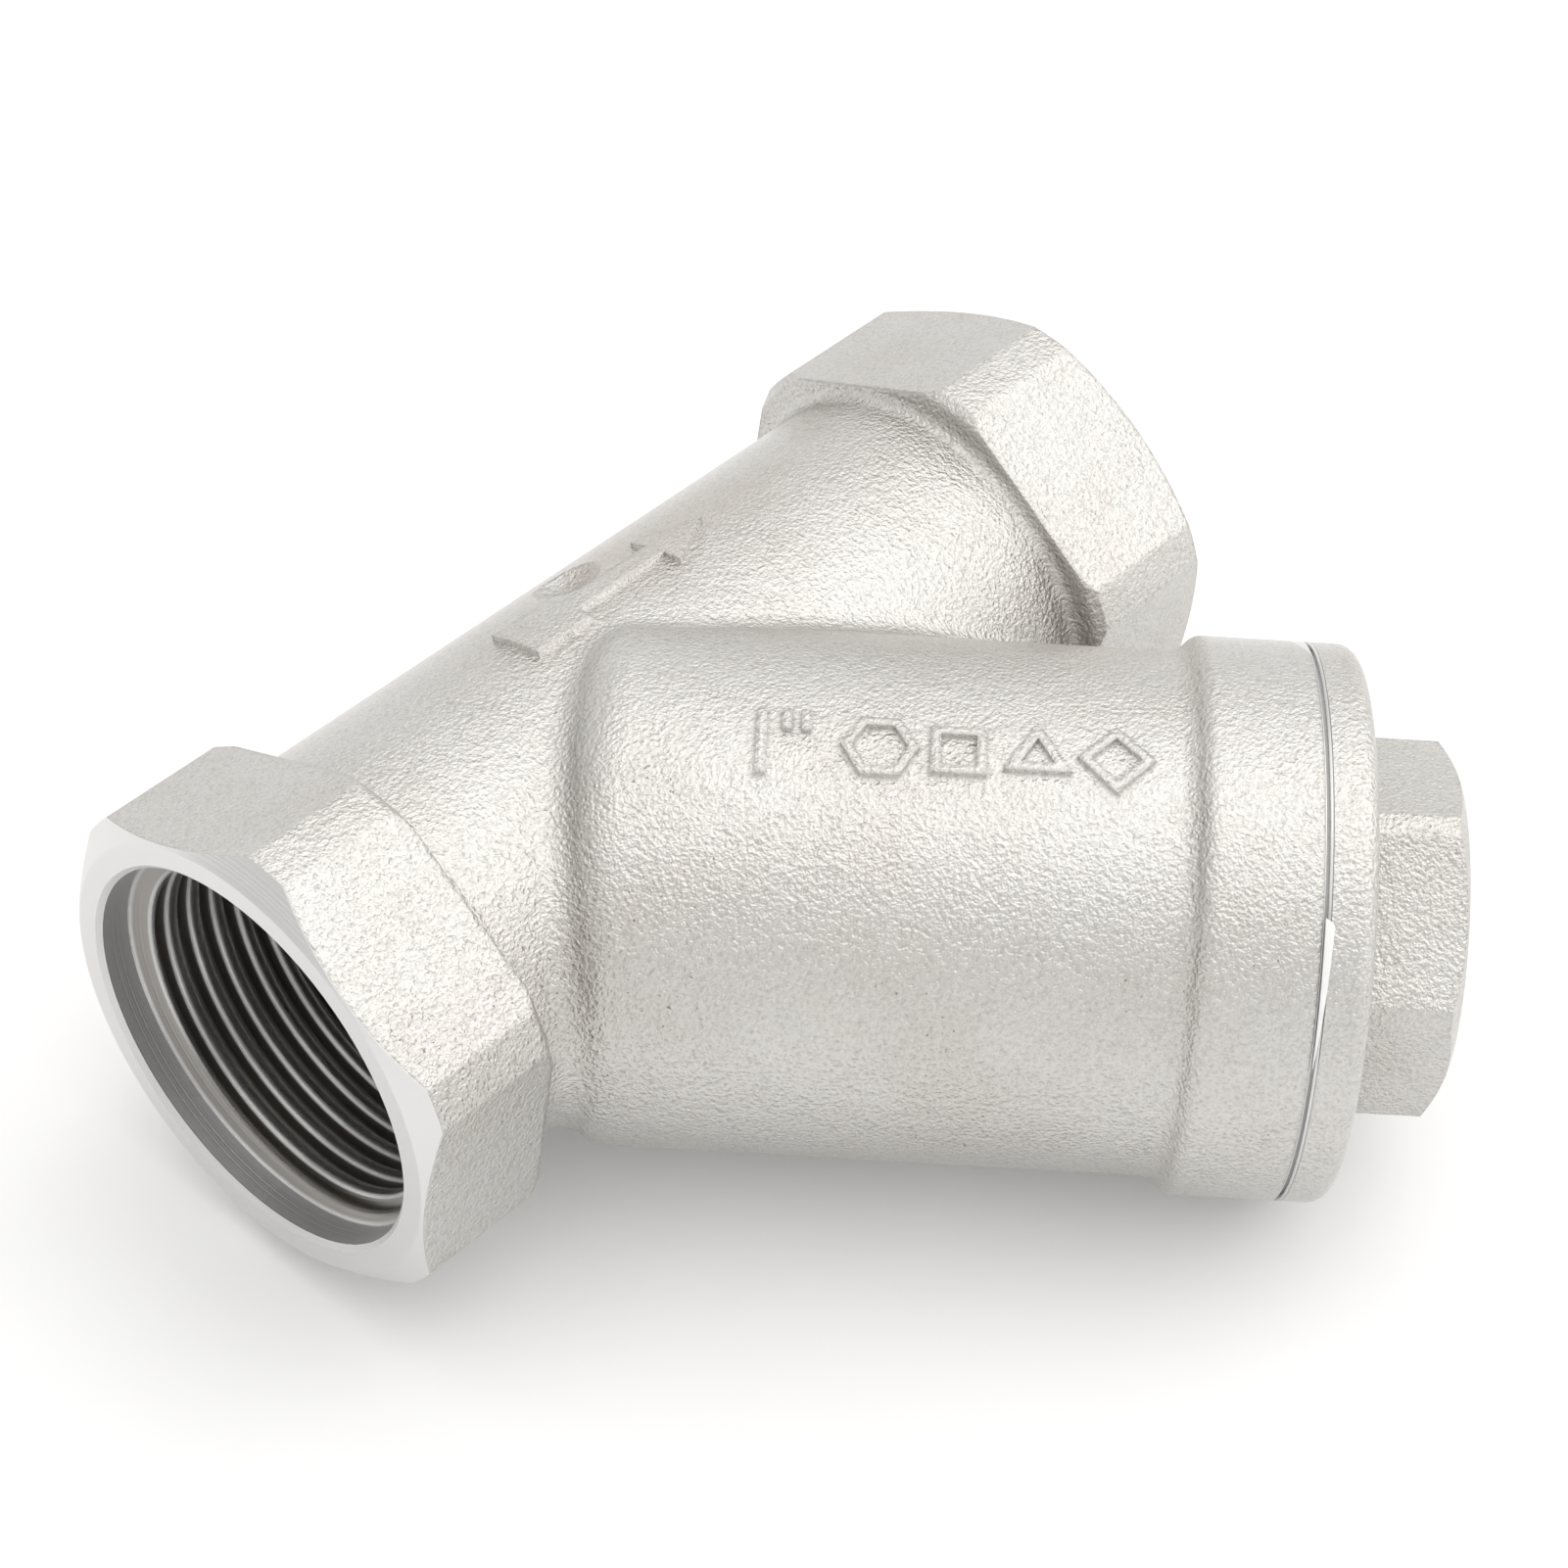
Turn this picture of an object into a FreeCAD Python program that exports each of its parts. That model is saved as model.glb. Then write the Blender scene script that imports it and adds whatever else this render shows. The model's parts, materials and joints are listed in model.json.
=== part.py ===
import FreeCAD, Part
import os
import Sketcher

# Screwed Y strainer, one-inch size. The run lies along +X in the direction of flow, with the
# origin at the centre of the inlet end face. The branch leaves the run in the XY plane towards
# -Y and holds the screen behind a screwed cap. +Z is square to the plane of the Y.

doc = FreeCAD.newDocument("y_strainer")
sheet = doc.addObject("Spreadsheet::Sheet", "sizes")

SIZES = {
    # pipe thread in both ends, by its pitch
    "port_pitch": 2.309,
    "port_major_radius": 16.62,
    "port_depth_ratio": 0.6366,
    "port_open_ratio": 0.6,
    "port_root_ratio": 0.16,
    "port_entry_clearance": 0.33,
    "port_entry_depth": 3.0,
    "port_entry_chamfer": 0.4,
    "port_lead": 0.8,
    "port_thread_length": 14.0,
    "port_plain_length": 3.6,
    "passage_step": 0.85,
    # run: two hexagon ends joined by a round neck
    "run_length": 92.8,
    "hex_wall": 2.45,
    "hex_corner_cut": 1.0,
    "inlet_hex_length": 13.0,
    "outlet_hex_length": 14.6,
    "hex_turn": 6.0,
    "face_inset": 0.2,
    "hex_chamfer_depth": 1.4,
    "shoulder_chamfer": 0.7,
    "neck_wall": 1.15,
    "neck_fillet_share": 0.8,
    # hollow left where the casting's gate was ground away
    "gate_at": 44.5,
    "gate_angle": 58.0,
    "gate_radius": 5.0,
    "gate_depth": 1.2,
    # branch: distances are along its axis from where that axis crosses the run axis
    "branch_angle": 50.0,
    "branch_start": 28.1,
    "collar_to": 62.5,
    "collar_spare": 0.4,
    "collar_wall": 2.45,
    "collar_fillet": 1.3,
    "barrel_wall": 2.9,
    "barrel_end_wall": 3.0,
    "barrel_round": 4.5,
    "crotch_fillet": 2.6,
    # web between the two passages, with the seat of the screen in it
    "web_from": 8.0,
    "web_thickness": 3.0,
    "seat_depth": 1.8,
    "throat_inset": 0.48,
    # screen
    "screen_radius": 13.9,
    "screen_sheet": 0.6,
    "screen_gap": 0.12,
    "band_sheet": 0.5,
    "band_width": 4.0,
    "band_clearance": 0.4,
    "liner_thickness": 0.4,
    "liner_inset": 0.6,
    "sheet_gap": 0.02,
    "hole_radius": 1.5,
    "hole_rows": 11.0,
    "holes_around": 18.0,
    "hole_margin": 6.6,
    "flow_gap": 3.4,
    # cap thread, by its pitch
    "cap_pitch": 2.0,
    "cap_depth_ratio": 0.55,
    "cap_width_ratio": 0.875,
    "cap_thread_slope": 1.1547,
    "cap_thread_length": 9.5,
    "cap_thread_step": 0.7,
    "cap_entry_depth": 1.0,
    "thread_clearance": 0.15,
    "flank_clearance": 0.13,
    # cap and gasket
    "gasket_thickness": 0.3,
    "gasket_clearance": 0.3,
    "gasket_inset": 0.7,
    "flange_thickness": 3.9,
    "flange_round": 1.5,
    "skirt_spare": 0.5,
    "skirt_undercut": 1.5,
    "skirt_lead": 1.1,
    "cap_hex_flats": 27.0,
    "cap_hex_corner_cut": 0.49,
    "cap_hex_height": 8.4,
    "cap_hex_chamfer": 1.0,
    "cap_hex_turn": 12.5,
    "cap_floor": 1.0,
    # raised marks on the casting
    "mark_height": 0.45,
    "arrow_from": 34.4,
    "arrow_length": 21.6,
    "arrow_angle": 73.0,
    "arrow_tail_length": 6.2,
    "arrow_tail_width": 5.4,
    "arrow_shaft_width": 2.2,
    "arrow_head_length": 5.6,
    "arrow_head_width": 5.8,
    "mark_from": 19.8,
    "mark_step": 6.0,
    "mark_size": 3.0,
    "mark_line": 0.75,
    "mark_angle": 102.0,
    # how far a cutting shape reaches past the surface it opens
    "overrun": 0.2,
}
# sizes that follow from the ones above, as formulas in the sheet
TIED = {
    "port_minor_radius": "port_major_radius - port_pitch * port_depth_ratio",
    "port_entry_radius": "port_major_radius + port_entry_clearance",
    "port_groove_open": "port_pitch * port_open_ratio",
    "port_groove_root": "port_pitch * port_root_ratio",
    "port_plain_end": "port_entry_depth + port_thread_length + port_plain_length",
    "passage_radius": "port_minor_radius - passage_step",
    "hex_flats": "2 * (port_entry_radius + hex_wall)",
    "hex_corner_radius": "hex_flats / 2 / cos(30deg) - hex_corner_cut",
    "face_radius": "hex_flats / 2 - face_inset",
    "neck_radius": "port_entry_radius + neck_wall",
    "neck_fillet": "(hex_wall - neck_wall) * neck_fillet_share",
    "seat_radius": "screen_radius + band_sheet + band_clearance",
    "cavity_radius": "seat_radius + flow_gap",
    "throat_radius": "screen_radius - screen_sheet - sheet_gap - liner_thickness - throat_inset",
    "cap_thread_depth": "cap_pitch * cap_depth_ratio",
    "cap_thread_width": "cap_pitch * cap_width_ratio",
    "cap_major_radius": "cavity_radius + cap_thread_step + cap_thread_depth",
    "skirt_length": "cap_thread_length - skirt_spare",
    "collar_from": "collar_to - cap_thread_length - collar_spare",
    "collar_radius": "cap_major_radius + collar_wall",
    "barrel_radius": "cavity_radius + barrel_wall",
    "barrel_from": "web_from - barrel_end_wall",
    "cap_hex_corner": "cap_hex_flats / 2 / cos(30deg) - cap_hex_corner_cut",
}
ENTRIES = {**SIZES, **{alias: f"={formula}" for alias, formula in TIED.items()}}
for row, (alias, value) in enumerate(ENTRIES.items(), 1):
    sheet.set(f"A{row}", alias)
    sheet.setAlias(f"B{row}", alias)
    sheet.set(f"B{row}", str(value))
doc.recompute()


def size(words):
    """Expression with every alias in it read from the sheet."""
    out = []
    for word in words.replace("(", "( ").replace(")", " )").split():
        out.append(f"<<sizes>>.{word}" if word in ENTRIES else word)
    return " ".join(out)


def frame(along, turn="0"):
    """Placement on the run: local Z along +X from `along`, turned about it."""
    return (
        f"placement(vector({size(along)}; 0; 0);"
        f" rotation(vector(1; 0; 0); {size(turn)}) * rotation(vector(0; 1; 0); 90))"
    )


BRANCH = (
    f"placement(vector({size('branch_start')}; 0; 0);"
    f" rotation(vector(0; 0; 1); {size('0 - branch_angle')}) * rotation(vector(0; 1; 0); 90))"
)


def place(obj, placement):
    obj.setExpression("Placement", placement)
    return obj


def plane(body, role):
    return next(o for o in body.Origin.OriginFeatures if o.Role == role)


def draw(sketch, loops):
    """Closed outlines through corners given as pairs of expressions, each corner bound to them."""
    for loop in loops:
        corners = [
            [float(sheet.evalExpression(size(word))) for word in corner] for corner in loop
        ]
        first = sketch.GeometryCount
        count = len(loop)
        for i in range(count):
            here, there = corners[i], corners[(i + 1) % count]
            sketch.addGeometry(
                Part.LineSegment(FreeCAD.Vector(*here, 0), FreeCAD.Vector(*there, 0)), False
            )
        for i in range(count):
            sketch.addConstraint(
                Sketcher.Constraint("Coincident", first + i, 2, first + (i + 1) % count, 1)
            )
            for kind, word, value in zip(("DistanceX", "DistanceY"), loop[i], corners[i]):
                n = sketch.addConstraint(Sketcher.Constraint(kind, -1, 1, first + i, 1, value))
                sketch.setExpression(f"Constraints[{n}]", size(word))


def body_sketch(body, name, role, loops):
    sketch = body.newObject("Sketcher::SketchObject", name)
    sketch.AttachmentSupport = [(plane(body, role), "")]
    sketch.MapMode = "FlatFace"
    draw(sketch, loops)
    return sketch


def turned(name, loops):
    """A body turned about its own Z axis from outlines given as (radius, height)."""
    body = doc.addObject("PartDesign::Body", name)
    sketch = body_sketch(body, f"{name}_profile", "XZ_Plane", loops)
    turn = body.newObject("PartDesign::Revolution", f"{name}_turn")
    turn.Profile = sketch
    turn.ReferenceAxis = (sketch, ["V_Axis"])
    turn.Angle = 360
    doc.recompute()
    return body


def edges_where(shape, test):
    return [f"Edge{i}" for i, edge in enumerate(shape.Edges, 1) if test(edge)]


def circle_at(radius, height):
    """Test for the full circles of a turned body at a radius and a height."""
    def test(edge):
        box = edge.BoundBox
        level = abs(box.ZMin - height) < 1e-4 and abs(box.ZMax - height) < 1e-4
        return level and abs(box.XMax - radius) < 1e-3
    return test


def number(words):
    return float(sheet.evalExpression(size(words)))


def rounded(body, radius, spots):
    """Fillet on a turned body's circles, each given by its radius and height."""
    base = body.Tip
    names = []
    for spot in spots:
        names += edges_where(base.Shape, circle_at(*[number(word) for word in spot]))
    fillet = body.newObject("PartDesign::Fillet", f"{body.Name}_{radius}_fillet")
    fillet.Base = (base, names)
    fillet.setExpression("Radius", size(radius))
    doc.recompute()
    return fillet


def thread_profile(inner, outer, wide, narrow, height):
    """Section of a thread: its width at the inner and outer radius, centred on a height."""
    return [[
        (inner, f"{height} - ({wide}) / 2"),
        (outer, f"{height} - ({narrow}) / 2"),
        (outer, f"{height} + ({narrow}) / 2"),
        (inner, f"{height} + ({wide}) / 2"),
    ]]


def coil(name, loops, pitch, length):
    """A right-hand helical ridge about local Z."""
    body = doc.addObject("PartDesign::Body", name)
    sketch = body_sketch(body, f"{name}_profile", "XZ_Plane", loops)
    helix = body.newObject("PartDesign::AdditiveHelix", f"{name}_helix")
    helix.Profile = sketch
    helix.ReferenceAxis = (sketch, ["V_Axis"])
    helix.Mode = 0
    helix.setExpression("Pitch", size(pitch))
    helix.setExpression("Height", size(length))
    doc.recompute()
    return body


def joined(kind, name, pieces):
    both = doc.addObject(kind, name)
    if kind in ("Part::MultiFuse", "Part::MultiCommon"):
        both.Shapes = pieces
    else:
        both.Base, both.Tool = pieces
    both.Refine = True
    doc.recompute()
    return both


def hexagon(name, flats, height):
    prism = doc.addObject("Part::Prism", name)
    prism.Polygon = 6
    prism.setExpression("Circumradius", size(f"{flats} / 2 / cos(30deg)"))
    prism.setExpression("Height", size(height))
    return prism


# ---------------------------------------------------------------- casting, outside
# Each end is a hexagon turned down at its face, so the flats run out in curves.
ends = []
for side in ("inlet", "outlet"):
    deep = f"{side}_hex_length"
    blank = turned(f"{side}_blank", [[
        ("0", "0"),
        ("face_radius", "0"),
        ("hex_corner_radius", "hex_chamfer_depth"),
        ("hex_corner_radius", f"{deep} - shoulder_chamfer"),
        ("hex_corner_radius - shoulder_chamfer", deep),
        ("0", deep),
    ]])
    prism = hexagon(f"{side}_prism", "hex_flats", deep)
    ends.append(joined("Part::Common", f"{side}_hex", [prism, blank]))
# corners of the hexagon stand at hex_turn from the plane square to the Y
place(ends[0], frame("0", "hex_turn"))
place(ends[1], (
    f"placement(vector({size('run_length')}; 0; 0);"
    f" rotation(vector(1; 0; 0); {size('hex_turn')}) * rotation(vector(0; 1; 0); -90))"
))

neck = doc.addObject("Part::Cylinder", "neck")
neck.setExpression("Radius", size("neck_radius"))
neck.setExpression("Height", size("run_length - (inlet_hex_length + outlet_hex_length) / 2"))
place(neck, frame("inlet_hex_length / 2"))

barrel = turned("barrel", [[
    ("0", "barrel_from"),
    ("barrel_radius", "barrel_from"),
    ("barrel_radius", "collar_from"),
    ("collar_radius", "collar_from + collar_radius - barrel_radius"),
    ("collar_radius", "collar_to"),
    ("0", "collar_to"),
]])
rounded(barrel, "barrel_round", [("barrel_radius", "barrel_from")])
rounded(barrel, "collar_fillet", [
    ("barrel_radius", "collar_from"),
    ("collar_radius", "collar_from + collar_radius - barrel_radius"),
])
place(barrel, BRANCH)
skin = joined("Part::MultiFuse", "skin", [ends[0], neck, ends[1], barrel])


def is_neck(face):
    surface = face.Surface
    round_face = surface.TypeId == "Part::GeomCylinder"
    return round_face and abs(surface.Radius - number("neck_radius")) < 1e-4


def is_barrel(face):
    """The barrel's end plane, its rounded rim and its round wall."""
    surface = face.Surface
    along = FreeCAD.Vector(1, 0, 0)
    if surface.TypeId == "Part::GeomCylinder":
        return abs(surface.Radius - number("barrel_radius")) < 1e-4
    if surface.TypeId == "Part::GeomPlane":
        return 0.1 < abs(surface.Axis.dot(along)) < 0.9 and abs(surface.Axis.z) < 1e-6
    return surface.TypeId == "Part::GeomToroid"


def is_shoulder(face):
    surface = face.Surface
    return surface.TypeId == "Part::GeomPlane" and abs(abs(surface.Axis.x) - 1) < 1e-6


def meeting(shape, one, other):
    """Numbers of the edges where a face of one kind meets a face of another."""
    found = []
    for i, edge in enumerate(shape.Edges, 1):
        faces = shape.ancestorsOfType(edge, Part.Face)
        if len(faces) == 2:
            a, b = faces
            if (one(a) and other(b)) or (one(b) and other(a)):
                found.append(i)
    return found


def smoothed(name, base, radius, edge_numbers):
    fillet = doc.addObject("Part::Fillet", name)
    fillet.Base = base
    fillet.Edges = [(i, number(radius), number(radius)) for i in edge_numbers]
    doc.recompute()
    return fillet


# Cast fillets: the crotch all round, where the neck runs into the barrel, and behind each hexagon.
crotch = smoothed(
    "crotch", skin, "crotch_fillet", meeting(skin.Shape, is_neck, is_barrel)
)
outside = smoothed(
    "outside", crotch, "neck_fillet", meeting(crotch.Shape, is_neck, is_shoulder)
)

gate = doc.addObject("Part::Sphere", "gate")
gate.setExpression("Radius", size("gate_radius"))
place(gate, (
    f"placement(vector({size('gate_at')}; 0; 0); rotation(vector(1; 0; 0); {size('gate_angle')}))"
    f" * placement(vector(0; {size('neck_radius + gate_radius - gate_depth')}; 0);"
    " rotation(vector(0; 0; 1); 0))"
))
ground = joined("Part::Cut", "ground", [outside, gate])


# ---------------------------------------------------------------- casting, raised marks
def raised(name, loops, radius, reach, origin, turn):
    """Flat outlines wrapped on a round wall: extruded outwards and trimmed to a thin tube."""
    sketch = doc.addObject("Sketcher::SketchObject", f"{name}_outline")
    draw(sketch, loops)
    stamp = doc.addObject("Part::Extrusion", f"{name}_stamp")
    stamp.Base = sketch
    stamp.DirMode = "Normal"
    stamp.Solid = True
    stamp.FaceMakerClass = "Part::FaceMakerBullseye"
    stamp.setExpression("LengthFwd", size(f"{radius} + 2 * mark_height"))
    place(stamp, f"placement(vector({size(origin)}; 0; 0); {turn})")
    tube = turned(f"{name}_tube", [[
        (f"{radius} - mark_height", reach[0]),
        (f"{radius} + mark_height", reach[0]),
        (f"{radius} + mark_height", reach[1]),
        (f"{radius} - mark_height", reach[1]),
    ]])
    return stamp, tube


# Flow arrow: a wide tail, a narrow shaft and a wide head, pointing at the outlet.
tail, tip = "arrow_from + arrow_tail_length", "arrow_from + arrow_length"
arrow_half = [
    ("arrow_from", "arrow_tail_width / 2"),
    (tail, "arrow_tail_width / 2"),
    (tail, "arrow_shaft_width / 2"),
    (f"{tip} - arrow_head_length", "arrow_shaft_width / 2"),
    (f"{tip} - arrow_head_length", "arrow_head_width / 2"),
]
arrow_outline = (
    arrow_half + [(tip, "0")] + [(x, f"0 - {y}") for x, y in reversed(arrow_half)]
)
arrow_stamp, arrow_tube = raised(
    "arrow", [arrow_outline], "neck_radius", ("0", "run_length"), "0",
    f"rotation(vector(1; 0; 0); {size('arrow_angle - 90')})",
)
place(arrow_tube, frame("0"))
arrow = joined("Part::Common", "arrow_mark", [arrow_stamp, arrow_tube])


def regular(sides, centre, radius, turn):
    """Corners of a regular polygon on the barrel's mark line."""
    step = 360 / sides
    return [
        (f"{centre} + ({radius}) * cos({turn + k * step}deg)", f"({radius}) * sin({turn + k * step}deg)")
        for k in range(sides)
    ]


def rectangle(x0, x1, y0, y1):
    return [(x0, y0), (x1, y0), (x1, y1), (x0, y1)]


# Plain foundry marks on the barrel: a bar, two short ticks and four outlined shapes.
mark_loops = [
    rectangle("mark_from - mark_line / 2", "mark_from + mark_line / 2", "0 - mark_size", "mark_size"),
]
for tick in ("mark_from + 2 * mark_line", "mark_from + 4 * mark_line"):
    mark_loops.append(
        rectangle(tick, f"{tick} + mark_line", "mark_size / 3", "mark_size")
    )
for k, (sides, turn) in enumerate(((6, 0), (4, 45), (3, 90), (4, 0)), 1):
    centre = f"mark_from + mark_step * {k + 0.5}"
    mark_loops.append(regular(sides, centre, "mark_size", turn))
    inset = f"mark_size - mark_line / cos({180 / sides}deg)"
    mark_loops.append(regular(sides, centre, inset, turn))
mark_stamp, mark_tube = raised(
    "mark", mark_loops, "barrel_radius", ("barrel_from", "collar_from"), "branch_start",
    f"rotation(vector(0; 0; 1); {size('0 - branch_angle')})"
    f" * rotation(vector(1; 0; 0); {size('mark_angle - 90')})",
)
place(mark_tube, BRANCH)
marks = joined("Part::Common", "barrel_marks", [mark_stamp, mark_tube])
marked = joined("Part::MultiFuse", "marked", [ground, arrow, marks])

# ---------------------------------------------------------------- casting, inside
PORT = [
    ("0", "0 - overrun"),
    ("port_entry_radius + port_entry_chamfer + overrun", "0 - overrun"),
    ("port_entry_radius", "port_entry_chamfer"),
    ("port_entry_radius", "port_entry_depth"),
    ("port_minor_radius", "port_entry_depth + port_lead"),
    ("port_minor_radius", "port_plain_end"),
    ("passage_radius", "port_plain_end"),
]
# how far each passage runs before the slanting web stops it
lean = "passage_radius * sin(branch_angle * 1deg)"
inlet_run = f"branch_start + (web_from + {lean}) / cos(branch_angle * 1deg) + overrun"
outlet_run = (
    f"run_length - branch_start - (web_from + web_thickness - {lean})"
    " / cos(branch_angle * 1deg) + overrun"
)
OUTLET = (
    f"placement(vector({size('run_length')}; 0; 0); rotation(vector(0; 1; 0); -90))"
)


def slab(name, start, height):
    """A wide disc square to the branch, from a distance along it."""
    disc = doc.addObject("Part::Cylinder", name)
    disc.setExpression("Radius", size("run_length * 2"))
    disc.setExpression("Height", size(height))
    place(disc, f"{BRANCH} * placement(vector(0; 0; {size(start)}); rotation(vector(0; 0; 1); 0))")
    return disc


cores = []
for side, length, seat, start in (
    ("inlet", inlet_run, frame("0"), "web_from - run_length * 2"),
    ("outlet", outlet_run, OUTLET, "web_from + web_thickness"),
):
    core = turned(f"{side}_core", [PORT + [("passage_radius", length), ("0", length)]])
    place(core, seat)
    cut_off = slab(f"{side}_side", start, "run_length * 2")
    cores.append(joined("Part::Common", f"{side}_passage", [core, cut_off]))

seat_floor = "web_from + web_thickness - seat_depth"
branch_core = turned("branch_core", [[
    ("0", "0"),
    ("throat_radius", "0"),
    ("throat_radius", seat_floor),
    ("seat_radius", seat_floor),
    ("seat_radius", "web_from + web_thickness"),
    ("cavity_radius", "web_from + web_thickness"),
    ("cavity_radius", "collar_from"),
    ("cap_major_radius - cap_thread_depth", "collar_from"),
    ("cap_major_radius - cap_thread_depth", "collar_to - cap_entry_depth"),
    ("cap_major_radius + overrun", "collar_to - cap_entry_depth"),
    ("cap_major_radius + overrun", "collar_to + overrun"),
    ("0", "collar_to + overrun"),
]])
place(branch_core, BRANCH)
hollow = joined("Part::MultiFuse", "hollow", cores + [branch_core])

port_start = "port_entry_depth - port_pitch / 2"
port_profile = thread_profile(
    "port_minor_radius - overrun", "port_major_radius", "port_groove_open", "port_groove_root",
    port_start,
)
port_length = f"port_entry_depth + port_thread_length - port_groove_open / 2 - ({port_start})"
inlet_coil = coil("inlet_thread", port_profile, "port_pitch", port_length)
place(inlet_coil, frame("0"))
outlet_coil = coil("outlet_thread", port_profile, "port_pitch", port_length)
place(outlet_coil, OUTLET)

cap_start = "collar_to - cap_thread_length"
cap_coil = coil("collar_thread", thread_profile(
    "cap_major_radius - cap_thread_depth - overrun", "cap_major_radius",
    "cap_thread_width + cap_thread_slope * overrun",
    "cap_thread_width - cap_thread_slope * cap_thread_depth", cap_start,
), "cap_pitch", "cap_thread_length + cap_pitch")
place(cap_coil, BRANCH)
casting = joined("Part::Cut", "casting_hollowed", [marked, hollow])
for step, cutter in enumerate((inlet_coil, outlet_coil, cap_coil)):
    casting = joined("Part::Cut", f"casting_threaded_{step}", [casting, cutter])

# ---------------------------------------------------------------- cap
# Turned outside and threaded outside, with a hexagon boss on top and a blind bore that takes
# the lower end of the screen.
face = "collar_to + gasket_thickness"
thread_root = "cap_major_radius - cap_thread_depth - thread_clearance"
cap = turned("cap", [[
    ("0", f"{face} + flange_thickness"),
    ("collar_radius", f"{face} + flange_thickness"),
    ("collar_radius", face),
    (thread_root, face),
    (thread_root, f"{face} - skirt_undercut"),
    ("cap_major_radius - thread_clearance", f"{face} - skirt_undercut"),
    ("cap_major_radius - thread_clearance", f"{face} - skirt_length + skirt_lead"),
    (thread_root, f"{face} - skirt_length"),
    ("seat_radius", f"{face} - skirt_length"),
    ("seat_radius", f"{face} + cap_floor"),
    ("0", f"{face} + cap_floor"),
]])
rounded(cap, "flange_round", [("collar_radius", f"{face} + flange_thickness")])

hex_top = f"{face} + flange_thickness + cap_hex_height"
boss_sketch = body_sketch(cap, "boss_outline", "XY_Plane", [[
    (
        f"cap_hex_flats / 2 / cos(30deg) * cos({60 * k}deg + cap_hex_turn * 1deg)",
        f"cap_hex_flats / 2 / cos(30deg) * sin({60 * k}deg + cap_hex_turn * 1deg)",
    )
    for k in range(6)
]])
boss_sketch.setExpression("AttachmentOffset.Base.z", size(f"{face} + cap_floor"))
boss = cap.newObject("PartDesign::Pad", "boss")
boss.Profile = boss_sketch
boss.setExpression("Length", size("flange_thickness - cap_floor + cap_hex_height"))
doc.recompute()
before = boss.Shape.Volume

corner_sketch = body_sketch(cap, "boss_corners", "XZ_Plane", [[
    ("cap_hex_corner", f"{face} + flange_thickness"),
    ("cap_hex_flats", f"{face} + flange_thickness"),
    ("cap_hex_flats", f"{hex_top} + overrun"),
    ("cap_hex_corner - 2 * cap_hex_chamfer", f"{hex_top} + overrun"),
    ("cap_hex_corner - 2 * cap_hex_chamfer", hex_top),
    ("cap_hex_corner", f"{hex_top} - cap_hex_chamfer"),
]])
corners = cap.newObject("PartDesign::Groove", "boss_corners_cut")
corners.Profile = corner_sketch
corners.ReferenceAxis = (corner_sketch, ["V_Axis"])
corners.Angle = 360
doc.recompute()
assert corners.Shape.Volume < before

male_coil = coil("cap_thread", thread_profile(
    thread_root, "cap_major_radius - thread_clearance + overrun",
    "cap_pitch - cap_thread_width - cap_thread_slope * thread_clearance + 2 * flank_clearance",
    "cap_pitch - cap_thread_width + cap_thread_slope * (cap_thread_depth - thread_clearance"
    " + overrun) + 2 * flank_clearance",
    f"{cap_start} - cap_pitch / 2",
), "cap_pitch", f"{face} - skirt_undercut / 2 - ({cap_start} - cap_pitch / 2)")
cap_cut = joined("Part::Cut", "cap_cut", [cap, male_coil])
place(cap_cut, BRANCH)

# ---------------------------------------------------------------- gasket
gasket = turned("gasket", [rectangle(
    "cap_major_radius + gasket_clearance", "collar_radius - gasket_inset",
    "collar_to", face,
)])
place(gasket, BRANCH)

# ---------------------------------------------------------------- screen
# A perforated sheet rolled to a tube, a woven liner inside it and a plain band round each end.
low, high = f"{seat_floor} + screen_gap", f"{face} + cap_floor - screen_gap"
tube = turned("screen_tube", [rectangle(
    "screen_radius - screen_sheet", "screen_radius", low, high
)])
row_step = f"(({high}) - ({low}) - 2 * hole_margin) / (hole_rows - 1)"
holes_around = int(SIZES["holes_around"])
for shift in (0, 1):
    sketch = tube.newObject("Sketcher::SketchObject", f"row_{shift}")
    sketch.AttachmentSupport = [(plane(tube, "XZ_Plane"), "")]
    sketch.MapMode = "FlatFace"
    sketch.AttachmentOffset = FreeCAD.Placement(
        FreeCAD.Vector(), FreeCAD.Rotation(FreeCAD.Vector(0, 1, 0), shift * 180 / holes_around)
    )
    for k in range(shift, int(SIZES["hole_rows"]), 2):
        level = f"{low} + hole_margin + {k} * {row_step}"
        n = sketch.addGeometry(
            Part.Circle(FreeCAD.Vector(0, number(level), 0), FreeCAD.Vector(0, 0, 1), 1), False
        )
        sketch.addConstraint(Sketcher.Constraint("PointOnObject", n, 3, -2))
        c = sketch.addConstraint(Sketcher.Constraint("Radius", n, number("hole_radius")))
        sketch.setExpression(f"Constraints[{c}]", size("hole_radius"))
        c = sketch.addConstraint(Sketcher.Constraint("DistanceY", -1, 1, n, 3, number(level)))
        sketch.setExpression(f"Constraints[{c}]", size(level))
    before = tube.Tip.Shape.Volume
    punch = tube.newObject("PartDesign::Pocket", f"punch_{shift}")
    punch.Profile = sketch
    punch.setExpression("Length", size("screen_radius + overrun"))
    doc.recompute()
    assert punch.Shape.Volume < before
    ring = tube.newObject("PartDesign::PolarPattern", f"ring_{shift}")
    ring.Originals = [punch]
    ring.Axis = (sketch, ["V_Axis"])
    ring.Angle = 360
    ring.setExpression("Occurrences", size("holes_around"))
    tube.Tip = ring
    doc.recompute()
place(tube, BRANCH)

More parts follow.
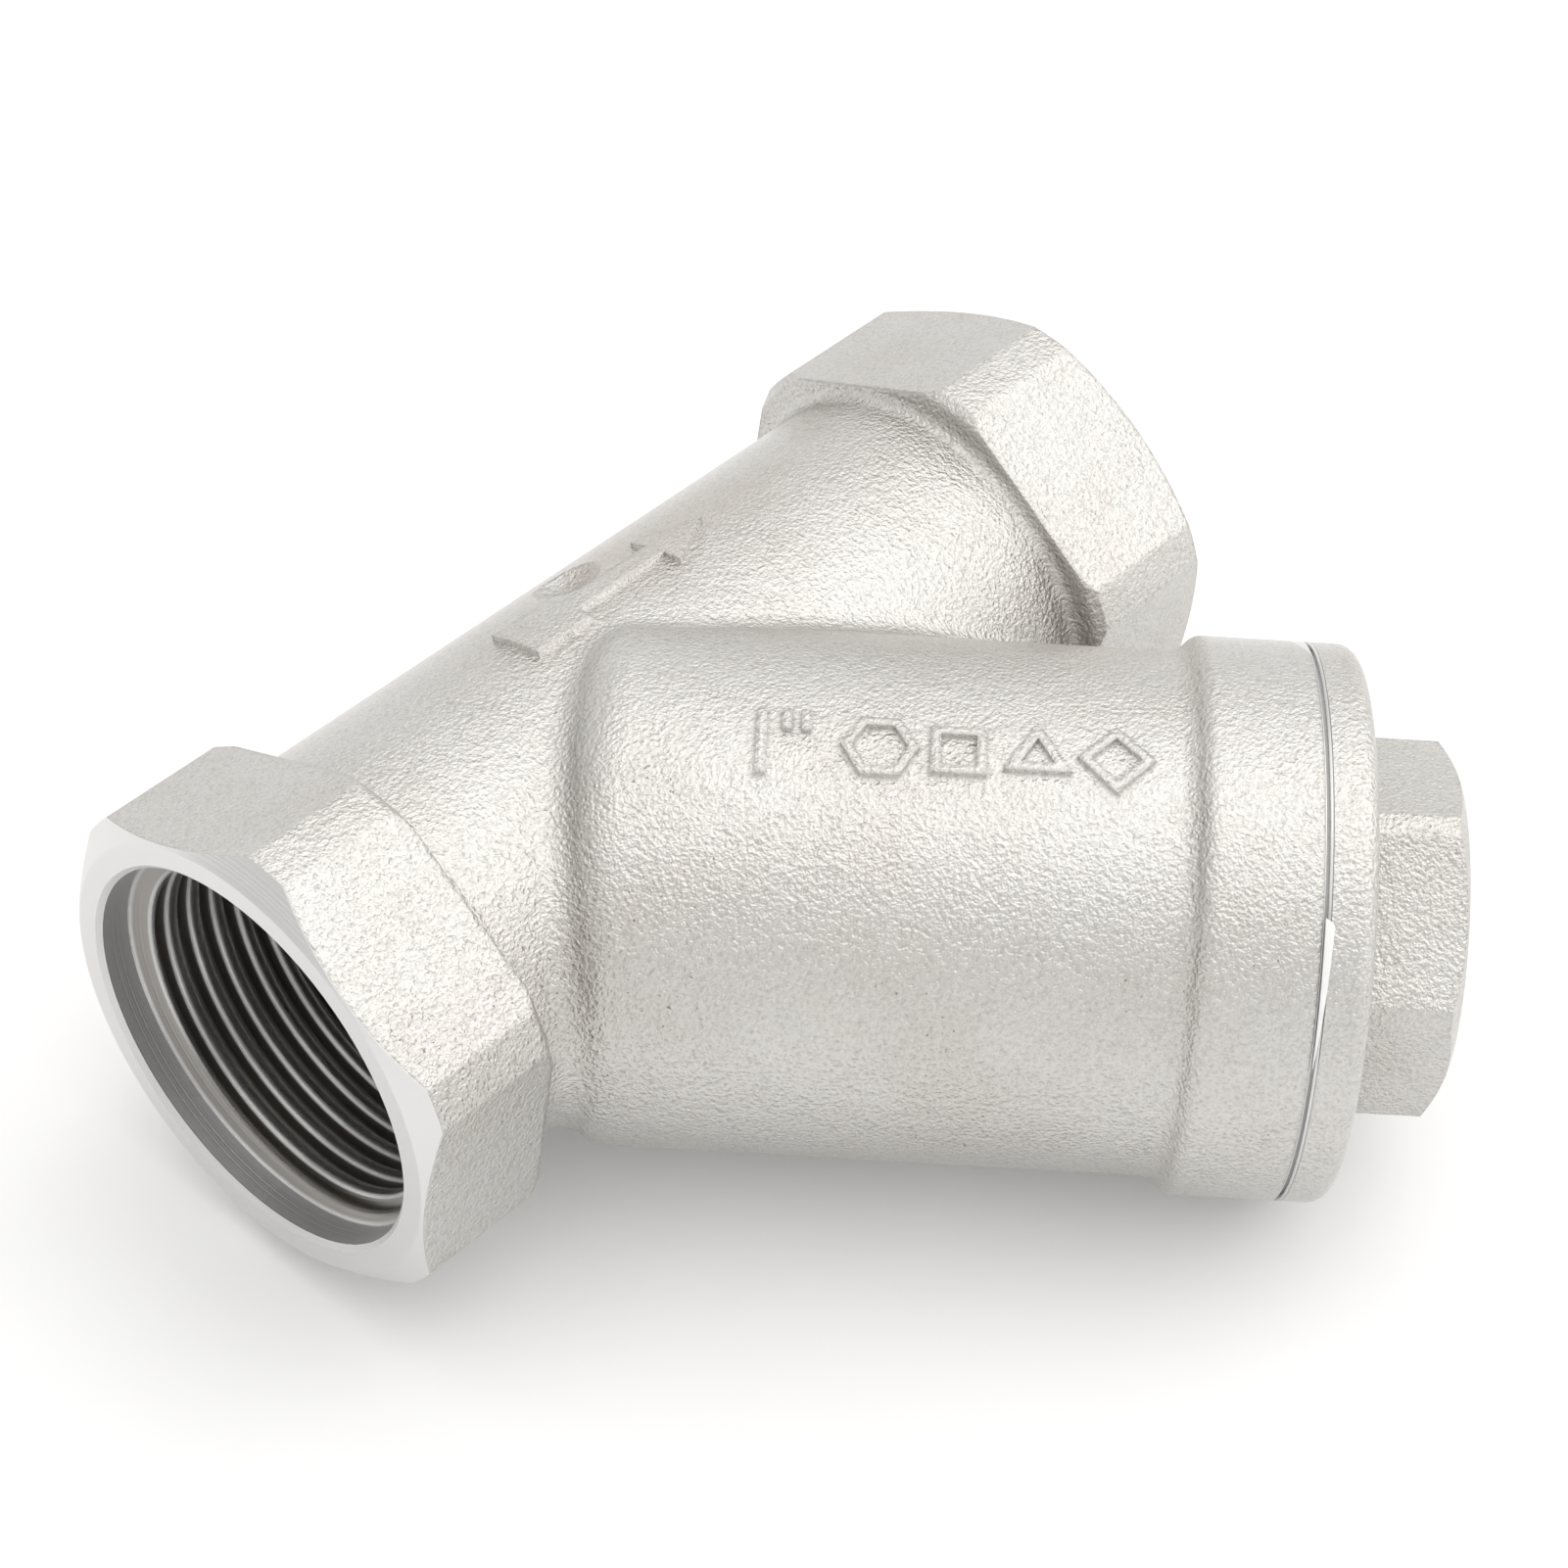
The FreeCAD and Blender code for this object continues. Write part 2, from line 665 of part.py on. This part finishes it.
liner_outer = "screen_radius - screen_sheet - sheet_gap"
liner = turned("liner", [rectangle(
    f"{liner_outer} - liner_thickness", liner_outer,
    f"{low} + liner_inset", f"{high} - liner_inset",
)])
place(liner, BRANCH)
bands = []
for name, bottom in (("upper_band", low), ("lower_band", f"{high} - band_width")):
    band = turned(name, [rectangle(
        "screen_radius + sheet_gap", "screen_radius + band_sheet", bottom,
        f"{bottom} + band_width",
    )])
    bands.append(place(band, BRANCH))

# ---------------------------------------------------------------- files
NODES = {
    "strainer_body": casting,
    "screen_cap": cap_cut,
    "cap_gasket": gasket,
    "screen_tube": tube,
    "screen_liner": liner,
    "screen_upper_band": bands[0],
    "screen_lower_band": bands[1],
}
doc.recompute()
for item in doc.Objects:
    if "Invalid" in item.State or "Error" in item.State:
        raise RuntimeError(f"{item.Name} did not build: {item.State}")
for node, item in NODES.items():
    item.Label = node
    shape = item.Shape
    if shape.isNull() or not shape.isValid() or len(shape.Solids) != 1:
        raise RuntimeError(f"{node} is not one valid solid")
os.makedirs("parts", exist_ok=True)
for node, item in NODES.items():
    item.Shape.exportStep(f"parts/{node}.step")
    print(node, round(item.Shape.Volume, 1), item.Shape.BoundBox)
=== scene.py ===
import json
import math

import bpy
import numpy as np
from mathutils import Matrix, Vector

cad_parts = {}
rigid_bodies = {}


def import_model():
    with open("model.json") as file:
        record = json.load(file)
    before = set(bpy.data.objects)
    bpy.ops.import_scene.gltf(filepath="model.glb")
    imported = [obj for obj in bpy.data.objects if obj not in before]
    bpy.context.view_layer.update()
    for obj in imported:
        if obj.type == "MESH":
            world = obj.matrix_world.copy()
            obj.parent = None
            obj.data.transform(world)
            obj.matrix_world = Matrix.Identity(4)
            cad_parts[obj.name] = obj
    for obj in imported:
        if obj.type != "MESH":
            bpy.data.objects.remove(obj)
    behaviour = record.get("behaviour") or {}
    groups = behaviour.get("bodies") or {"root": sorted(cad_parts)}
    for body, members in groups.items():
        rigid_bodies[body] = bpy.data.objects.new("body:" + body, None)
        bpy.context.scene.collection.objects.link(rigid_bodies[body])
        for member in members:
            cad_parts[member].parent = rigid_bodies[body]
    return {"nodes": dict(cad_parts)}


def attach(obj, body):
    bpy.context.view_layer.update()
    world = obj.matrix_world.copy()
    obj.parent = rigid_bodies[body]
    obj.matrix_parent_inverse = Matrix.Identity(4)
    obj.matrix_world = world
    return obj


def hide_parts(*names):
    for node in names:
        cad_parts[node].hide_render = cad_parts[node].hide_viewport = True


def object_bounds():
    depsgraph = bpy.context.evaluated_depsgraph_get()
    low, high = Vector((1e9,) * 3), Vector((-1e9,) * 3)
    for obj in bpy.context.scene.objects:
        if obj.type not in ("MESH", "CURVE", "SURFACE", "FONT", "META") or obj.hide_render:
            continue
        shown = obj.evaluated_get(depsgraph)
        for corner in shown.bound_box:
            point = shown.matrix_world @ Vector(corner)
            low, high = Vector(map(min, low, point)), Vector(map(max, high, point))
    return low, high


for leftover in list(bpy.data.objects):
    bpy.data.objects.remove(leftover)
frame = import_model()
cad_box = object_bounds()

# The casting: the run, the two hexagons, the slanted barrel and its collar, poured in one piece of
# stainless steel in a lost-wax mould and bead blasted. The end faces, their turned edges and the
# threaded mouths are cut afterwards on a lathe.


class Shade:
    """One socket in a material. Arithmetic on it adds the Math nodes that do the sum."""

    def __init__(self, tree, socket):
        self.tree = tree
        self.socket = socket

    def node(self, kind, settings=None, inputs=None, out=0):
        """A node of that type: its settings first, then the values or links of its sockets."""
        made = self.tree.nodes.new("ShaderNode" + kind)
        for name, value in (settings or {}).items():
            setattr(made, name, value)
        for name, value in (inputs or {}).items():
            if isinstance(value, Shade):
                self.tree.links.new(value.socket, made.inputs[name])
            else:
                made.inputs[name].default_value = value
        return Shade(self.tree, made.outputs[out])

    def sum(self, operation, *values):
        return self.node("Math", {"operation": operation}, dict(enumerate(values)))

    def __add__(self, other):
        return self.sum("ADD", self, other)

    def __radd__(self, other):
        return self.sum("ADD", other, self)

    def __sub__(self, other):
        return self.sum("SUBTRACT", self, other)

    def __rsub__(self, other):
        return self.sum("SUBTRACT", other, self)

    def __mul__(self, other):
        return self.sum("MULTIPLY", self, other)

    def __rmul__(self, other):
        return self.sum("MULTIPLY", other, self)

    def low(self, other):
        return self.sum("MINIMUM", self, other)

    def high(self, other):
        return self.sum("MAXIMUM", self, other)

    def step(self, start, end):
        """0 below start, 1 above end, and a smooth rise between."""
        around = {"Value": self, "From Min": start, "From Max": end}
        return self.node("MapRange", {"interpolation_type": "SMOOTHSTEP"}, around)

    def blend(self, first, second):
        """The first colour where this is 0 and the second where it is 1. A Mix node has a pair of
        sockets for each kind of value, and 6 and 7 are its colours."""
        return self.node("Mix", {"data_type": "RGBA"}, {0: self, 6: first, 7: second}, out=2)

    def mix_normals(self, first, second):
        """The first direction where this is 0 and the second where it is 1, by sockets 4 and 5."""
        return self.node("Mix", {"data_type": "VECTOR"}, {0: self, 4: first, 5: second}, out=1)

    def noise(self, scale, detail, roughness):
        """Clouds of about 1/scale metres across at this place, from 0 to 1."""
        at = {"Vector": self, "Scale": scale, "Detail": detail, "Roughness": roughness}
        return self.node("TexNoise", None, at)

    def length_from(self, axis_point, axis):
        """How far along an axis this place is, and how far from the axis it is."""
        arm = self.node("VectorMath", {"operation": "SUBTRACT"}, {0: self, 1: axis_point})
        along = arm.node("VectorMath", {"operation": "DOT_PRODUCT"}, {0: arm, 1: axis}, out="Value")
        cross = arm.node("VectorMath", {"operation": "CROSS_PRODUCT"}, {0: arm, 1: axis})
        return along, cross.node("VectorMath", {"operation": "LENGTH"}, {0: cross}, out="Value")


def material(name):
    """A new material, with the place on the piece to start from and the shader to end in."""
    made = bpy.data.materials.new(name)
    made.use_nodes = True
    tree = made.node_tree
    shader = tree.nodes["Principled BSDF"]
    start = Shade(tree, None)
    return made, start.node("TexCoord", out="Object"), shader


def finish(tree, shader, **sockets):
    """Joins what varies over the surface to the shader, and sets what is the same all over."""
    for name, value in sockets.items():
        socket = shader.inputs[name.replace("_", " ")]
        if isinstance(value, Shade):
            tree.links.new(value.socket, socket)
        else:
            socket.default_value = value


run_length = 0.0928
hex_round = 0.0192
cone_slope = 0.636
mouth_radius = 0.0174
mouth_depth = 0.0206
passage_radius = 0.0165
entry_depth = 0.0030
entry_inner = 0.0160
crest_radius = 0.0153
branch_start = Vector((0.0281, 0.0, 0.0))
branch_line = Vector((0.642788, -0.766044, 0.0))
collar_end = 0.0625
collar_bore = 0.0203
collar_floor = 0.0500
edge_round = 0.0007
edge_samples = 4
# How wide the line is where a cut stops, at its sharpest and where it fades.
hairline = 0.00005
fade = 0.0002
steel_pale = (0.64, 0.625, 0.60, 1.0)
steel_warm = (0.60, 0.58, 0.55, 1.0)
steel_stain = (0.46, 0.37, 0.28, 1.0)
steel_cut = (0.68, 0.675, 0.67, 1.0)
# Painted shade: a darker grey for the inside of the bore past its entry.
bore_shade_grey = (0.34, 0.325, 0.31, 1.0)
steel_shadow = (0.34, 0.325, 0.31, 1.0)
# Near black, painted as shade inside the pits.
pit_shade_black = (0.10, 0.095, 0.09, 1.0)
skin_relief = 0.00029
sand_share = 0.34
crinkle_share = 0.62
peel_share = 0.40
pit_share = 0.30
mark_share = 0.10
turning_fineness = 5200.0


def blasted(place, cut):
    """The blasted skin's colour, roughness and height, with a smooth turned finish where cut is 1."""
    sand = place.noise(scale=5200.0, detail=2.0, roughness=0.6)
    crinkle = place.noise(scale=2700.0, detail=1.0, roughness=0.5)
    peel = place.noise(scale=650.0, detail=2.0, roughness=0.5)
    patches = place.noise(scale=62.0, detail=3.0, roughness=0.6)
    coarse = 0.55 + patches * 0.9
    height = (sand * sand_share + crinkle * crinkle_share * coarse + peel * peel_share) * (1 - cut)
    specks = place.noise(scale=2900.0, detail=1.0, roughness=0.5)
    # The pits are small real dents in the height; their near-black colour is painted shade in them.
    pits = specks.step(0.72, 0.78) * patches.step(0.50, 0.64) * (1 - cut)
    clouds = place.noise(scale=36.0, detail=4.0, roughness=0.62)
    stain = clouds.step(0.60, 0.74) * sand.step(0.30, 0.65)
    skin = patches.step(0.35, 0.75).blend(steel_pale, steel_warm)
    skin = (stain * 0.35).blend(skin, steel_stain)
    skin = ((0.54 - crinkle).high(0.0) * 1.15 * (1 - cut)).blend(skin, steel_shadow)
    colour = cut.blend((pits * 0.7).blend(skin, pit_shade_black), steel_cut)
    rough = (0.23 + sand * 0.13) * (1 - cut) + cut * 0.24
    return colour, rough, height - pits * pit_share


steel, place, shader = material("cast_stainless")
along, off_run = place.length_from((0.0, 0.0, 0.0), (1.0, 0.0, 0.0))
from_end = along.low(run_length - along)
turned_edge = from_end - (off_run - hex_round).high(0.0) * cone_slope
face_cut = 1 - turned_edge.step(0.00004, 0.00006)
mouth_wall = 1 - off_run.step(mouth_radius, mouth_radius + hairline)
mouth_cut = mouth_wall * (1 - from_end.step(mouth_depth, mouth_depth + 2 * hairline))
up_branch, off_branch = place.length_from(branch_start, branch_line)
collar_cut = up_branch.step(collar_end - 2 * hairline, collar_end - hairline)
collar_wall = 1 - off_branch.step(collar_bore, collar_bore + hairline)
thread_cut = collar_wall * up_branch.step(collar_floor, collar_floor + fade)
cut = face_cut.high(mouth_cut).high(collar_cut).high(thread_cut)
colour, rough, height = blasted(place, cut)
crest = 1 - off_run.step(crest_radius, crest_radius + fade)
inside = mouth_cut.high(1 - off_run.step(passage_radius, passage_radius + 2 * hairline))
# Painted shade: past the entry, the bore's thread roots and the passage are coloured a darker grey, as
# shade deep inside; the thread crests keep their own colour.
shaded_bore = inside * from_end.step(entry_depth, entry_depth + fade) * (1 - crest * mouth_cut)
colour = shaded_bore.blend(colour, bore_shade_grey)
entry_wall = off_run.step(entry_inner, passage_radius)
entry = inside * (1 - from_end.step(entry_depth - fade, entry_depth)) * entry_wall
rough = rough + shaded_bore * 0.10 + entry * 0.26
turning = {"X": off_run * turning_fineness, "Y": along * turning_fineness}
ring_lines = off_run.node("CombineXYZ", None, turning)
marks = ring_lines.noise(scale=1.0, detail=2.0, roughness=0.6) * cut * mark_share
soft_edge = place.node("Bevel", {"samples": edge_samples}, {"Radius": edge_round})
sharp_edge = place.node("NewGeometry", out="Normal")
rounded = face_cut.high(collar_cut).high(entry).mix_normals(soft_edge, sharp_edge)
normal = place.node(
    "Bump", None, {"Strength": 1.0, "Distance": skin_relief, "Height": height + marks, "Normal": rounded}
)
finish(
    steel.node_tree, shader, Base_Color=colour, Metallic=1.0, Roughness=rough, Normal=normal
)
frame["nodes"]["strainer_body"].data.materials[0] = steel

# The cap: a turned and blasted plug of the same steel, with a short hexagon to grip it by. Its skirt
# is threaded and screws into the collar.
skirt_top = 0.0630
cap_edge_round = 0.0004
cap_steel, place, shader = material("cap_stainless")
up_cap = place.length_from(branch_start, branch_line)[0]
skirt_cut = 1 - up_cap.step(skirt_top, skirt_top + 2 * hairline)
colour, rough, height = blasted(place, skirt_cut)
rounded = place.node("Bevel", {"samples": edge_samples}, {"Radius": cap_edge_round})
normal = place.node(
    "Bump", None, {"Strength": 1.0, "Distance": skin_relief, "Height": height, "Normal": rounded}
)
finish(
    cap_steel.node_tree, shader, Base_Color=colour, Metallic=1.0, Roughness=rough, Normal=normal
)
frame["nodes"]["screen_cap"].data.materials[0] = cap_steel

# The gasket: a flat ring of white PTFE, cut from skived sheet and pinched between the collar and the
# cap's flange.
gasket_white = (0.86, 0.86, 0.85, 1.0)
gasket_grey = (0.78, 0.78, 0.76, 1.0)
gasket_relief = 0.00004
gasket, place, shader = material("white_ptfe")
mottle = place.noise(scale=600.0, detail=3.0, roughness=0.6)
tint = mottle.step(0.3, 0.8).blend(gasket_white, gasket_grey)
dimple = place.node("Bump", None, {"Strength": 0.4, "Distance": gasket_relief, "Height": mottle})
finish(
    gasket.node_tree, shader, Base_Color=tint, Roughness=0.42 + mottle * 0.1, Normal=dimple
)
frame["nodes"]["cap_gasket"].data.materials[0] = gasket

# The screen: a tube rolled from perforated stainless sheet, held in shape by a plain band spot welded
# round each end. The sheet keeps the fine lengthwise lines of the mill.
sheet_grey = (0.58, 0.58, 0.57, 1.0)
sheet_dark = (0.44, 0.44, 0.43, 1.0)
sheet_relief = 0.00002
mill_fineness = 9000.0
mill_stretch = 500.0
sheet, place, shader = material("rolled_stainless")
up_sheet, off_sheet = place.length_from(branch_start, branch_line)
squeezed = {"X": up_sheet * mill_fineness, "Y": off_sheet * mill_stretch}
streak = up_sheet.node("CombineXYZ", None, squeezed)
lines = streak.noise(scale=1.0, detail=3.0, roughness=0.6)
cloud = place.noise(scale=160.0, detail=2.0, roughness=0.5)
tone = (lines * 0.5 + cloud * 0.5).blend(sheet_dark, sheet_grey)
rolled = place.node("Bump", None, {"Strength": 0.5, "Distance": sheet_relief, "Height": lines})
finish(
    sheet.node_tree, shader, Base_Color=tone, Metallic=1.0, Roughness=0.22 + lines * 0.14, Normal=rolled
)
for node in ("screen_tube", "screen_upper_band", "screen_lower_band"):
    frame["nodes"][node].data.materials[0] = sheet

# The lining: fine stainless cloth, plain woven from round wire, rolled up inside the tube. Each wire
# passes over one crossing wire and under the next.
wire_radius = 0.00010
wire_corners = 4
lining_radius = 0.01308
lining_low = 0.00992
lining_high = 0.06328
hoops = 40
stakes = 62
per_cell = 4
branch_side = Vector((0.766044, 0.642788, 0.0))
wire_steel = (0.50, 0.50, 0.49, 1.0)
wire_dark = (0.40, 0.40, 0.39, 1.0)


def tubes(paths, radius, closed):
    """Four-sided wires on many paths at once: each point of a path, plus radius times the cosine of
    the angle outwards from the branch and the sine of it across the path."""
    count, length, _ = paths.shape
    if closed:
        ahead = np.roll(paths, -1, 1) - np.roll(paths, 1, 1)
    else:
        ahead = np.gradient(paths, axis=1)
    ahead /= np.linalg.norm(ahead, axis=2, keepdims=True)
    axis = np.array(branch_line)
    arm = paths - np.array(branch_start)
    out = arm - (arm @ axis)[..., None] * axis
    out -= (out * ahead).sum(2, keepdims=True) * ahead
    out /= np.linalg.norm(out, axis=2, keepdims=True)
    across = np.cross(ahead, out)
    turn = np.arange(wire_corners) * 2 * math.pi / wire_corners
    ring = out[:, :, None] * np.cos(turn)[:, None] + across[:, :, None] * np.sin(turn)[:, None]
    points = paths[:, :, None] + radius * ring
    index = np.arange(count * length * wire_corners).reshape(count, length, wire_corners)
    here = index if closed else index[:, :-1]
    then = np.roll(index, -1, 1) if closed else index[:, 1:]
    sides = np.stack([here, np.roll(here, -1, 2), np.roll(then, -1, 2), then], -1).reshape(-1, 4)
    if closed:
        return points.reshape(-1, 3), sides
    ends = np.concatenate([index[:, 0, ::-1], index[:, -1]])
    return points.reshape(-1, 3), np.concatenate([sides, ends])


def on_branch(up, turn, off):
    """Points at that height up the branch, angle round it and distance from it: the start, plus up
    times its line, and off times the cosine of turn to its side and the sine of turn upwards."""
    up, turn, off = np.broadcast_arrays(up, turn, off)
    side = np.array(branch_side)
    return (
        np.array(branch_start)
        + up[..., None] * np.array(branch_line)
        + (off * np.cos(turn))[..., None] * side
        + (off * np.sin(turn))[..., None] * np.array([0.0, 0.0, 1.0])
    )


hoop_up = np.linspace(lining_low + wire_radius, lining_high - wire_radius, hoops)
stake_turn = np.arange(stakes) * 2 * math.pi / stakes
hoop_turn = np.arange(stakes * per_cell) * 2 * math.pi / (stakes * per_cell)
stake_up = np.linspace(hoop_up[0], hoop_up[-1], (hoops - 1) * per_cell + 1)
sway = wire_radius * np.cos(np.arange(stakes * per_cell) * math.pi / per_cell)
over = (-1.0) ** np.arange(hoops)[:, None]
hoop_paths = on_branch(hoop_up[:, None], hoop_turn[None], lining_radius + over * sway[None])
sway = wire_radius * np.cos(np.arange(len(stake_up)) * math.pi / per_cell)
over = (-1.0) ** np.arange(stakes)[:, None]
stake_paths = on_branch(stake_up[None], stake_turn[:, None], lining_radius - over * sway[None])
hoop_points, hoop_faces = tubes(hoop_paths, wire_radius, True)
stake_points, stake_faces = tubes(stake_paths, wire_radius, False)


def surface(name, points, faces):
    """An object at the origin whose mesh has these points and four-sided faces."""
    mesh = bpy.data.meshes.new(name)
    mesh.vertices.add(len(points))
    mesh.vertices.foreach_set("co", np.asarray(points, np.float32).ravel())
    mesh.loops.add(faces.size)
    mesh.loops.foreach_set("vertex_index", np.asarray(faces, np.int32).ravel())
    mesh.polygons.add(len(faces))
    mesh.polygons.foreach_set("loop_start", np.arange(0, faces.size, 4, dtype=np.int32))
    mesh.polygons.foreach_set("use_smooth", np.ones(len(faces), bool))
    mesh.update(calc_edges=True)
    mesh.validate()
    made = bpy.data.objects.new(name, mesh)
    bpy.context.scene.collection.objects.link(made)
    return made


cloth = surface(
    "screen_lining_cloth",
    np.concatenate([hoop_points, stake_points]),
    np.concatenate([hoop_faces, stake_faces + len(hoop_points)]),
)
wire, place, shader = material("woven_stainless")
drawn = place.noise(scale=4000.0, detail=2.0, roughness=0.5)
tone = drawn.blend(wire_dark, wire_steel)
finish(wire.node_tree, shader, Base_Color=tone, Metallic=1.0, Roughness=0.24 + drawn * 0.1)
cloth.data.materials.append(wire)
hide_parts("screen_liner")
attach(cloth, "screen_pack")

# A sliver of the gasket that the cap has squeezed out of the joint as it was tightened. It lies as a
# thin tapered tongue of white PTFE over the edge of the flange.
sliver_radius = 0.02249
sliver_seam = 0.06262
sliver_start = math.radians(133.5)
sliver_end = math.radians(164.0)
sliver_rows = 41
sliver_corners = 10
tip_size = 0.00002
root_width = 0.00036
root_thickness = 0.00006
blunt_share = 0.05
along_sliver = np.linspace(0.0, 1.0, sliver_rows)[:, None]
round_sliver = np.arange(sliver_corners)[None] * 2 * math.pi / sliver_corners
# Its width falls evenly along it from a blunt end, and each section is an ellipse lying on the rim.
blunt = np.minimum(along_sliver / blunt_share, 1.0) ** 0.5
half_width = tip_size + root_width * blunt * (1.0 - along_sliver) ** 0.8
half_thick = tip_size + root_thickness * blunt * (1.0 - along_sliver) ** 0.4
sliver_points = on_branch(
    sliver_seam + half_width * (1.0 + np.cos(round_sliver)),
    sliver_start + (sliver_end - sliver_start) * along_sliver,
    sliver_radius + half_thick * np.sin(round_sliver),
)
index = np.arange(sliver_rows * sliver_corners).reshape(sliver_rows, sliver_corners)
here, then = index[:-1], index[1:]
sides = np.stack([here, then, np.roll(then, -1, 1), np.roll(here, -1, 1)], -1).reshape(-1, 4)
sliver_mesh = bpy.data.meshes.new("gasket_sliver")
ends = [index[0].tolist(), index[-1, ::-1].tolist()]
sliver_mesh.from_pydata(sliver_points.reshape(-1, 3).tolist(), [], sides.tolist() + ends)
sliver = bpy.data.objects.new("gasket_sliver", sliver_mesh)
bpy.context.scene.collection.objects.link(sliver)
sliver_mesh.materials.append(gasket)
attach(sliver, "screen_pack")

# The pale paper floor the strainer lies on, the light of the room with one soft box overhead, and
# the camera.
floor_size = 4.0
paper_grey = (0.80, 0.80, 0.80, 1.0)
paper_white = (0.84, 0.84, 0.84, 1.0)
floor_mesh = bpy.data.meshes.new("studio_floor")
low = cad_box[0].z
half = floor_size / 2
floor_mesh.from_pydata(
    [(-half, -half, low), (half, -half, low), (half, half, low), (-half, half, low)], [], [(0, 1, 2, 3)]
)
floor = bpy.data.objects.new("studio_floor", floor_mesh)
bpy.context.scene.collection.objects.link(floor)
paper, place, shader = material("studio_paper")
fibre = place.noise(scale=40.0, detail=3.0, roughness=0.5)
tone = fibre.blend(paper_grey, paper_white)
finish(
    paper.node_tree, shader, Base_Color=tone, Roughness=0.9, Emission_Color=tone,
    Emission_Strength=0.12, Specular_IOR_Level=0.0,
)
floor_mesh.materials.append(paper)

room_base = 0.80
ceiling_extra = 0.68
window_extra = 1.05
back_extra = 0.20
daylight = (1.0, 0.995, 0.985, 1.0)
world = bpy.data.worlds.new("studio_room")
bpy.context.scene.world = world
world.use_nodes = True
sky = world.node_tree.nodes["Background"]
room = Shade(world.node_tree, None)
direction = room.node("TexCoord", out="Generated")


def facing(way, start, end):
    """0 where the room is further from that way than start, and 1 where it is nearer than end."""
    both = {0: direction, 1: way}
    return direction.node("VectorMath", {"operation": "DOT_PRODUCT"}, both, out="Value").step(start, end)


ceiling = facing((0.0, 0.0, 1.0), 0.70, 0.84) * ceiling_extra
window = facing((0.55, -0.42, 0.72), 0.70, 0.86) * window_extra
back_wall = facing((0.62, 0.52, 0.58), 0.60, 0.92) * back_extra
strength = ceiling.high(window).high(back_wall) + room_base
world.node_tree.links.new(strength.socket, sky.inputs["Strength"])
sky.inputs["Color"].default_value = daylight

middle = Vector((0.050, -0.018, 0.0))
overhead_way = Vector((0.0, 0.05, 1.0)).normalized()
overhead_distance = 0.55
overhead_side = 0.40
overhead_watts = 0.16
lamp = bpy.data.lights.new("overhead_box", "AREA")
lamp.shape = "RECTANGLE"
lamp.size = overhead_side
lamp.size_y = overhead_side
lamp.energy = overhead_watts
overhead = bpy.data.objects.new("overhead_box", lamp)
facing_down = overhead_way.to_track_quat("Z", "Y").to_matrix().to_4x4()
overhead.matrix_world = Matrix.Translation(middle + overhead_way * overhead_distance) @ facing_down
bpy.context.scene.collection.objects.link(overhead)

camera = bpy.data.cameras.new("studio_camera")
camera.sensor_width = 36.0
camera.lens = 87.8
camera.clip_start = 0.01
eye = bpy.data.objects.new("studio_camera", camera)
eye.location = (-0.12324, -0.15421, 0.21998)
eye.rotation_euler = [math.radians(turn) for turn in (45.9005, -2.5111, -47.8049)]
bpy.context.scene.collection.objects.link(eye)
bpy.context.scene.camera = eye
bpy.context.scene.view_settings.view_transform = "Standard"
